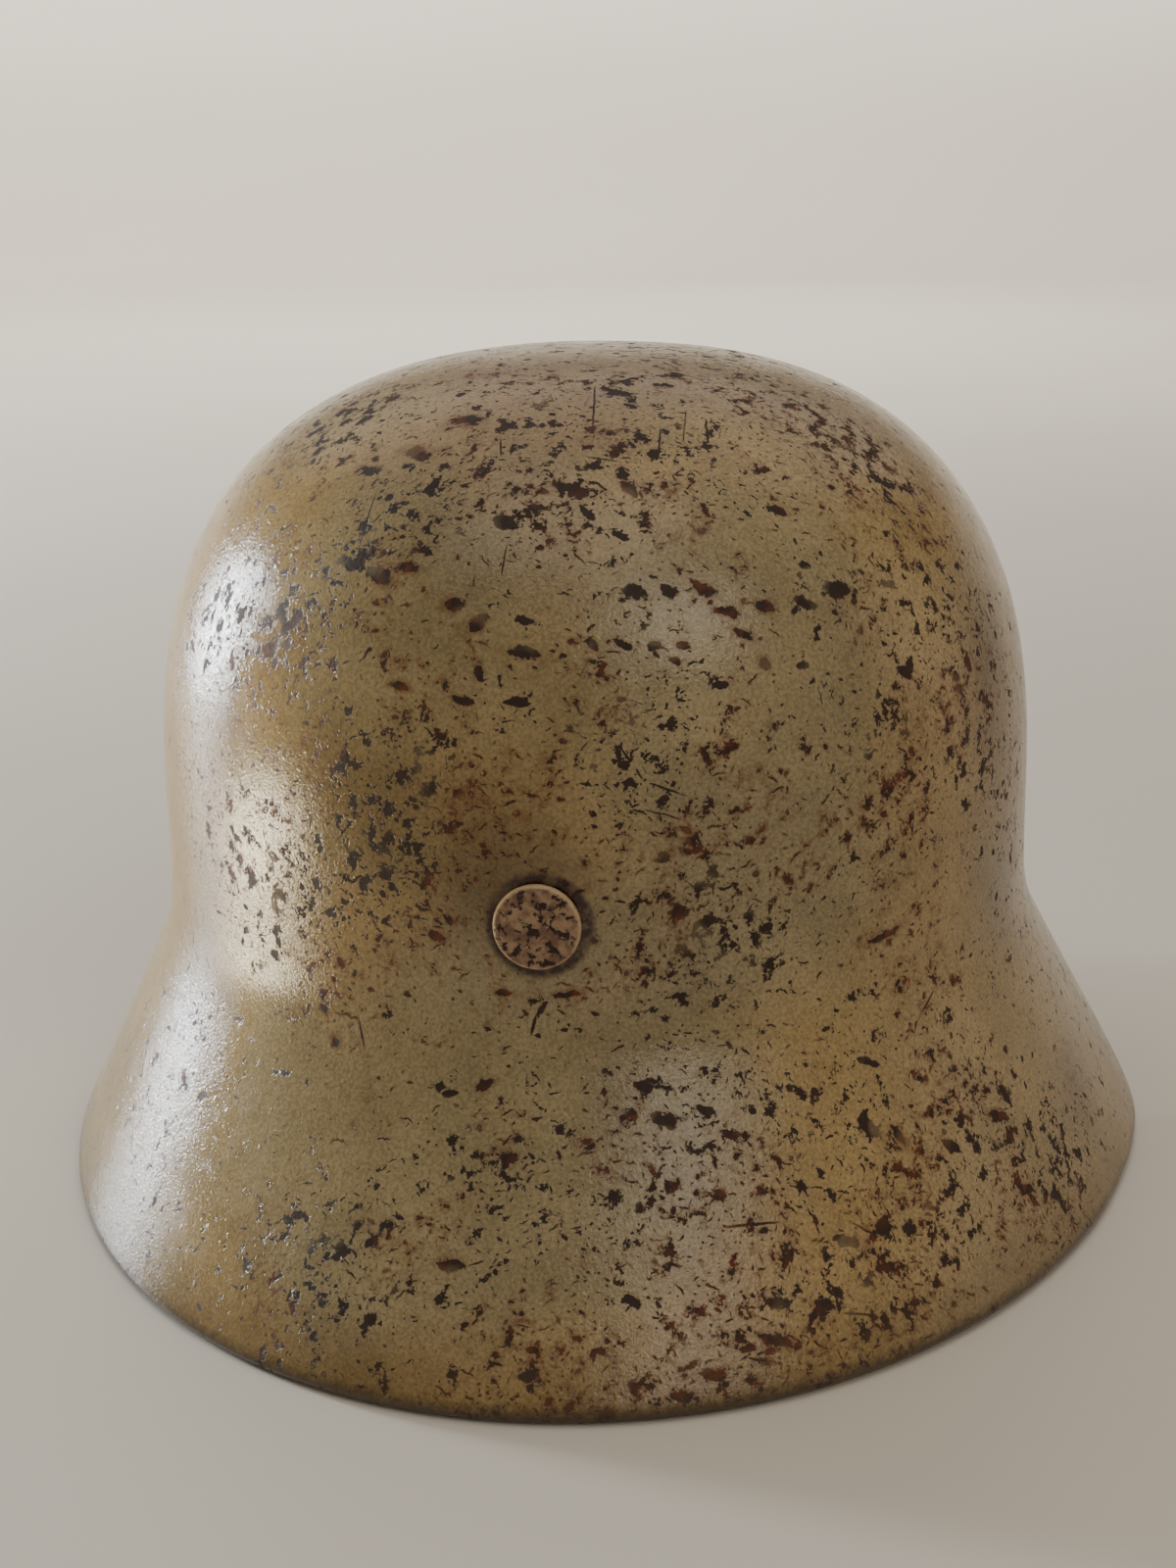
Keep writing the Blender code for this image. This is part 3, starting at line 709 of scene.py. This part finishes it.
def lay_chips(edge, rows):
    """The deepest of several sizes of loose chips at each point."""
    result = None
    for cells, share, more, length, width, bowed in rows:
        depth = use(tree, chips, Position=edge, Outward=outward, Cells=cells, Length=length, Width=width,
                    Bow=bowed, Share=calc(tree, "MULTIPLY_ADD", spread, more, share))["Depth"]
        result = depth if result is None else calc(tree, "MAXIMUM", result, depth)
    return result


large = lay_chips(rough_edge, LARGE_CHIPS)
small = lay_chips(soft_edge, SMALL_CHIPS)
cluster_depth = use(tree, clusters, Position=rough_edge, Grain=300.0, Share=spread)["Depth"]
large = calc(tree, "MAXIMUM", large, cluster_depth)

mark_place = add(tree, "Attribute", attribute_name="mark_place").outputs["Vector"]
mark_size = add(tree, "Attribute", attribute_name="mark_size").outputs["Vector"]
mark_depth = use(tree, marks, Place=mark_place, Half_Size=mark_size, Position=position, Bite=3.4)["Depth"]
large = calc(tree, "MAXIMUM", large, mark_depth)
deepest = calc(tree, "MAXIMUM", large, small)

chip = ramp(tree, deepest, -0.04, 0.13)
near_chip = ramp(tree, deepest, -1.1, 0.1)

paint = blend(tree, ramp(tree, tone, 0.0, 0.8), OCHRE, PINKISH)
paint = blend(tree, ramp(tree, tone, 0.0, -0.8), paint, OLIVE)
cloud = add(tree, "TexNoise", {"Vector": position, "Scale": 60.0, "Detail": 4.0, "Roughness": 0.6}).outputs[0]
paint = tinted(tree, paint, cloud, *CLOUD_TINTS)
# Painted shade and painted light: the paint is darker where this attribute is above 0 and paler where it is
# below 0
shade = add(tree, "Attribute", attribute_name="painted_light_and_shade").outputs["Fac"]
painted_shading_factor = {channel: calc(tree, "MULTIPLY_ADD", shade, tint, 1.0) for channel, tint in enumerate(PAINTED_SHADING_TINT)}
paint = blend(tree, 1.0, paint, add(tree, "CombineColor", painted_shading_factor).outputs[0], "MULTIPLY")

red_noise = add(tree, "TexNoise", {"Vector": position, "Scale": 48.0, "Detail": 2.0}).outputs[0]
redness = ramp(tree, red_noise, 0.42, 0.62)
stain = calc(tree, "MULTIPLY", calc(tree, "MULTIPLY", near_chip, redness), 0.55)
coated = blend(tree, stain, paint, STAIN)

rust_tone = add(tree, "TexNoise", {"Vector": position, "Scale": 420.0, "Detail": 3.0}).outputs[0]
red_share = calc(tree, "MULTIPLY", ramp(tree, rust_tone, 0.40, 0.66), redness)
grey_share = calc(tree, "MULTIPLY", ramp(tree, rust_tone, 0.44, 0.30), 0.5)
rust_colour = blend(tree, grey_share, blend(tree, red_share, PLUM, RED_RUST), GREY_STEEL)
thin = add(tree, "TexNoise", {"Vector": position, "Scale": 150.0, "Detail": 1.0}).outputs[0]
cover = calc(tree, "MULTIPLY", chip, ramp(tree, thin, 0.34, 0.48, 0.62, 0.97))
speckle = add(tree, "TexNoise", {"Vector": position, "Scale": 1500.0, "Detail": 1.0}).outputs[0]
colour = blend(tree, cover, tinted(tree, coated, speckle, *SPECKLE_TINTS), rust_colour)

# Dirt under the rivet heads, and a rim worn down to dark steel with painted shadow along it
DIRT_SHIFT = Vector((-0.4 * MM, 0, 0))
DIRT_OUTSIDE, DIRT_INSIDE = 10.6 * MM, 9.0 * MM
ring = None
for middle in HEADS.values():
    away = vec(tree, "DISTANCE", soft_edge, middle + DIRT_SHIFT)
    ring = away if ring is None else calc(tree, "MINIMUM", ring, away)
dirt = ramp(tree, ring, DIRT_OUTSIDE, DIRT_INSIDE)
dirt = calc(tree, "MULTIPLY", dirt, ramp(tree, rust_tone, 0.35, 0.55, 0.55, 1.0))
colour = blend(tree, dirt, colour, HEAD_DIRT)
low_edge = add(tree, "SeparateXYZ", {0: rough_edge}).outputs[2]
# The lowest few millimetres go dark: worn steel, and painted shadow where the rim meets the floor
rim_wear_and_shadow = ramp(tree, low_edge, 0.0042, 0.0012)
colour = blend(tree, calc(tree, "MULTIPLY", rim_wear_and_shadow, 0.85), colour, RIM_WEAR_AND_SHADOW)
# The paint goes darker and browner towards the bottom
colour = blend(tree, ramp(tree, low_edge, 0.016, 0.002, 0.0, 0.35), colour, LOW_BROWN)

gloss_noise = add(tree, "TexNoise", {"Vector": position, "Scale": 180.0, "Detail": 3.0}).outputs[0]
gloss = ramp(tree, gloss_noise, 0.3, 0.7, 0.11, 0.19)
roughness = calc(tree, "ADD", gloss, calc(tree, "MULTIPLY", chip, 0.55))

grain = use(tree, peel, Position=position, Grain=1700.0, Blisters=0.12)["Height"]
sunk = ramp(tree, large, -0.35, 0.45)
SUNK = 0.38
height = calc(tree, "MULTIPLY_ADD", sunk, -SUNK, grain)
relief = add(tree, "Bump", {"Strength": 0.8, "Distance": 0.14 * MM, "Height": height})

steel = add(tree, "BsdfPrincipled", {"Base Color": colour, "Roughness": roughness,
                                     "Normal": relief.outputs[0]})
add(tree, "OutputMaterial", {"Surface": steel.outputs[0]})
print("material:", sand.name, "with", len(tree.nodes), "nodes")

# %% [markdown]
# ## The inside
# The photograph doesn't show the inside. The same paint was sprayed there, thinner, and it
# went darker and rustier where sweat and damp stayed. It is a second material on the faces
# that look inward.

# %% Material: the inside of the shell
inside_paint, tree, position = new_material("sand_paint_inside")
edge = use(tree, ragged, Position=position, Bite=0.0030, Grain=300.0)["Position"]
worn = add(tree, "TexNoise", {"Vector": position, "Scale": 22.0, "Detail": 3.0}).outputs[0]
depth = use(tree, clusters, Position=edge, Grain=180.0, Share=ramp(tree, worn, 0.3, 0.7, 0.3, 2.6))["Depth"]
chip = ramp(tree, depth, -0.2, 0.3)
paint = blend(tree, worn, rgb(120, 100, 68), rgb(92, 72, 48))
colour = blend(tree, chip, paint, rgb(62, 38, 28))
grain = use(tree, peel, Position=position, Grain=900.0, Blisters=0.2)["Height"]
worn_finish(tree, colour, chip, grain, sunk=1.0, relief=(0.5, 0.3 * MM), matt=(0.55, 0.85))

helmet.data.materials.append(sand)
helmet.data.materials.append(inside_paint)
inward = 0
for face in helmet.data.polygons:
    if face.normal.dot(face.center - DOME_MIDDLE) < 0:
        face.material_index = 1
        inward += 1
print("faces outside and inside:", len(helmet.data.polygons) - inward, inward)

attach(helmet, "root")
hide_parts("shell")

# %% [markdown]
# ## Rivets
# Split rivets hold the liner band inside. From outside each one is a button of about 16 mm,
# slightly domed, with a rounded edge. A copy of the CAD rivet keeps the shank and the two
# bent legs; a Bevel rounds its edges, a Subdivision Surface smooths it, and a small
# displacement gives the worn face its gritty relief.

# %% Model the rivets
RIVET_EDGE = 0.0004
RIVET_GRIT = 0.00012
SHARP_CORNER = math.radians(35)
grit = bpy.data.textures.new("rivet_grit", "CLOUDS")
grit.noise_scale = 0.0016
grit.noise_depth = 3

rivets = []
for which in ("rear", "left", "right"):
    rivet = welded_copy("liner_rivet_" + which, "rivet_" + which)
    apply_modifier(rivet, "BEVEL", width=RIVET_EDGE, segments=3, limit_method="ANGLE",
                   angle_limit=SHARP_CORNER)
    apply_modifier(rivet, "SUBSURF", levels=2, render_levels=2)
    apply_modifier(rivet, "DISPLACE", texture=grit, texture_coords="LOCAL", strength=RIVET_GRIT,
                   mid_level=0.5)
    bpy.ops.object.shade_smooth()
    rivets.append(rivet)
    print(rivet.name, "triangles:", sum(len(p.vertices) - 2 for p in rivet.data.polygons))

# %% Material: worn rivet
rivet_paint, tree, position = new_material("rivet_paint_worn")
edge = use(tree, ragged, Position=position, Bite=0.0018, Grain=600.0)["Position"]
rim_wear_and_highlight_mask = add(tree, "Attribute", attribute_name="rim_wear_and_highlight").outputs["Fac"]
depth = use(tree, clusters, Position=edge, Grain=560.0, Share=1.7)["Depth"]
chip = calc(tree, "MULTIPLY", ramp(tree, depth, -0.2, 0.3), ramp(tree, rim_wear_and_highlight_mask, 0.9, 0.4))
tint = add(tree, "TexNoise", {"Vector": position, "Scale": 500.0, "Detail": 3.0}).outputs[0]
paint = blend(tree, ramp(tree, tint, 0.35, 0.65), rgb(112, 80, 60), rgb(158, 128, 98))
# The head's rim is paler: partly worn paint, partly a painted highlight along the edge
paint = blend(tree, ramp(tree, rim_wear_and_highlight_mask, 0.45, 0.9), paint, rgb(196, 168, 130))
colour = blend(tree, chip, paint, rgb(48, 24, 20))
grain = use(tree, peel, Position=position, Grain=1600.0, Blisters=0.5)["Height"]
worn_finish(tree, colour, chip, grain, sunk=1.2, relief=(0.8, 0.3 * MM), matt=(0.42, 0.75))

HEAD_RADIUS = 8.1 * MM
# Where the paler rim, worn paint and painted highlight, begins across the head
RIM_WEAR_AND_HIGHLIGHT_FROM = 0.80
for rivet, which in zip(rivets, ("rear", "left", "right")):
    low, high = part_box("liner_rivet_" + which)
    rivet.data.materials.append(rivet_paint)
    # The head's edge lies furthest from its middle line
    head = (low + high) / 2
    axis = Vector((head.x, head.y - DOME_MIDDLE.y, 0)).normalized()
    rim_wear_and_highlight_values = []
    for vertex in rivet.data.vertices:
        away = vertex.co - head
        reach = (away - axis * away.dot(axis)).length / HEAD_RADIUS
        rim_wear_and_highlight_values.append(min(1.0, max(0.0, (reach - RIM_WEAR_AND_HIGHLIGHT_FROM) / (1 - RIM_WEAR_AND_HIGHLIGHT_FROM))))
    store(rivet, "rim_wear_and_highlight", "FLOAT", rim_wear_and_highlight_values)
    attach(rivet, "root")
    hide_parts("liner_rivet_" + which)
print("rivets:", [r.name for r in rivets])

# %% [markdown]
# ## Vent bushings
# Each side has a small tube that lines an air hole, with a flange flattened against the
# shell. It was fitted before painting, so it has the same paint, with rust round its lip.

# %% Model and paint the bushings
bushing_paint, tree, position = new_material("bushing_paint_rusted")
edge = use(tree, ragged, Position=position, Bite=0.0015, Grain=700.0)["Position"]
depth = use(tree, clusters, Position=edge, Grain=420.0, Share=1.8)["Depth"]
chip = ramp(tree, depth, -0.2, 0.3)
colour = blend(tree, chip, rgb(150, 122, 82), rgb(56, 30, 22))
grain = use(tree, peel, Position=position, Grain=1600.0, Blisters=0.3)["Height"]
worn_finish(tree, colour, chip, grain, sunk=1.4, relief=(0.6, 0.2 * MM), matt=(0.42, 0.75))

BUSHING_EDGE = 0.0002
for which in ("left", "right"):
    bushing = welded_copy("vent_bushing_" + which, "bushing_" + which)
    apply_modifier(bushing, "BEVEL", width=BUSHING_EDGE, segments=2, limit_method="ANGLE",
                   angle_limit=SHARP_CORNER)
    apply_modifier(bushing, "SUBSURF", levels=1, render_levels=1)
    bpy.ops.object.shade_smooth()
    bushing.data.materials.append(bushing_paint)
    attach(bushing, "root")
    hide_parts("vent_bushing_" + which)
    print(bushing.name, "triangles:", sum(len(p.vertices) - 2 for p in bushing.data.polygons))

# %% [markdown]
# ## Floor and light
# The floor is plain and pale. One tall, narrow, cool light stands on the wearer's left, almost
# level with the helmet: its mirror image makes the streak on the dome and the band down the
# skirt. A low glow close to the floor on the same side lights the hollow under the streak.
# Large dim lights above, behind and to the sides open the shadows, and one washes the
# backdrop.

# %% Sweep the floor up into a round backdrop
FLOOR_RADIUS = 2.4
FLOOR_SIDES = 96
FLOOR_DROP = 0.3 * MM
SWEEP_RADIUS = 0.5
SWEEP_STEPS = 8
BACKDROP_TOP = 0.6

bpy.ops.object.select_all(action="DESELECT")
bpy.ops.mesh.primitive_circle_add(vertices=FLOOR_SIDES, radius=FLOOR_RADIUS, fill_type="NGON",
                                  location=(0, 0, -FLOOR_DROP))
floor = bpy.context.object
floor.name = "floor"
bpy.ops.object.transform_apply(location=True)
bpy.ops.object.mode_set(mode="EDIT")
bpy.ops.mesh.select_mode(type="EDGE")
bpy.ops.mesh.select_all(action="SELECT")
reached, risen = FLOOR_RADIUS, 0.0
for step in range(1, SWEEP_STEPS + 1):
    angle = math.radians(90) * step / SWEEP_STEPS
    radius = FLOOR_RADIUS + SWEEP_RADIUS * math.sin(angle)
    height = SWEEP_RADIUS * (1 - math.cos(angle))
    bpy.ops.mesh.extrude_edges_move(TRANSFORM_OT_translate={"value": (0, 0, height - risen)})
    bpy.ops.transform.resize(value=(radius / reached, radius / reached, 1))
    reached, risen = radius, height
bpy.ops.mesh.extrude_edges_move(TRANSFORM_OT_translate={"value": (0, 0, BACKDROP_TOP - risen)})
bpy.ops.object.mode_set(mode="OBJECT")
bpy.ops.object.shade_smooth()

plain = bpy.data.materials.new("plain_floor")
plain.use_nodes = True
tree = plain.node_tree
shader = tree.nodes["Principled BSDF"].inputs
shader["Roughness"].default_value = 0.42
position = add(tree, "TexCoord").outputs["Object"]
faint = add(tree, "TexNoise", {"Vector": position, "Scale": 3.0, "Detail": 2.0}).outputs[0]
tree.links.new(blend(tree, faint, rgb(226, 217, 203), rgb(231, 223, 210)), shader["Base Color"])
floor.data.materials.append(plain)
floor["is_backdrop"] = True
print("floor and backdrop:", len(floor.data.polygons), "faces")

# %% Set the lights
LAMPS = (
    # name, place, what it looks at, width, height, power, colour
    ("cool_strip", (1.38, -0.55, 0.30), (0, 0, 0.09), 0.10, 0.50, 28, (0.82, 0.91, 1.0)),
    ("low_glow", (0.37, 0.08, 0.004), (0.37, 0.08, 1.0), 0.20, 0.12, 2.6, (1.0, 0.91, 0.66)),
    ("behind", (0.05, -1.28, 1.62), (0, 0, 0.09), 3.2, 2.0, 12, (1.0, 0.96, 0.90)),
    ("above", (0.10, 0.40, 2.00), (0, 0, 0.09), 1.6, 1.6, 11, (1.0, 0.95, 0.87)),
    ("warm_fill", (-1.53, -0.26, 0.48), (0, 0, 0.09), 0.9, 0.7, 1.2, (1.0, 0.84, 0.62)),
    ("back_fill", (-0.90, 1.30, 1.32), (0, 0, 0.09), 1.0, 0.8, 6.5, (1.0, 0.95, 0.86)),
    ("backdrop_wash", (0.50, -1.50, 1.40), (0.6, -2.9, 0.1), 2.0, 0.5, 45, (1.0, 0.98, 0.94)),
)
for name, place, aim, width, height, power, colour in LAMPS:
    data = bpy.data.lights.new(name, "AREA")
    data.shape = "RECTANGLE"
    data.size, data.size_y = width, height
    data.energy = power
    data.color = colour
    lamp = bpy.data.objects.new(name, data)
    bpy.context.scene.collection.objects.link(lamp)
    lamp.location = place
    lamp.rotation_mode = "QUATERNION"
    lamp.rotation_quaternion = (Vector(place) - Vector(aim)).to_track_quat("Z", "Y")
    lamp.visible_camera = False

ROOM_COLOUR = rgb(224, 214, 198)
ROOM_STRENGTH = 0.16
room = bpy.data.worlds.new("pale_room")
bpy.context.scene.world = room
room.use_nodes = True
background = room.node_tree.nodes["Background"].inputs
background["Color"].default_value = ROOM_COLOUR
background["Strength"].default_value = ROOM_STRENGTH
print("lights:", [row[0] for row in LAMPS])

# %% [markdown]
# The dressed helmet has to stay as large as the CAD model. Its box is printed.

# %% Print the dressed helmet's box
low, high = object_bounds()
print("visual box in mm:", [round(v / MM, 1) for v in high - low])
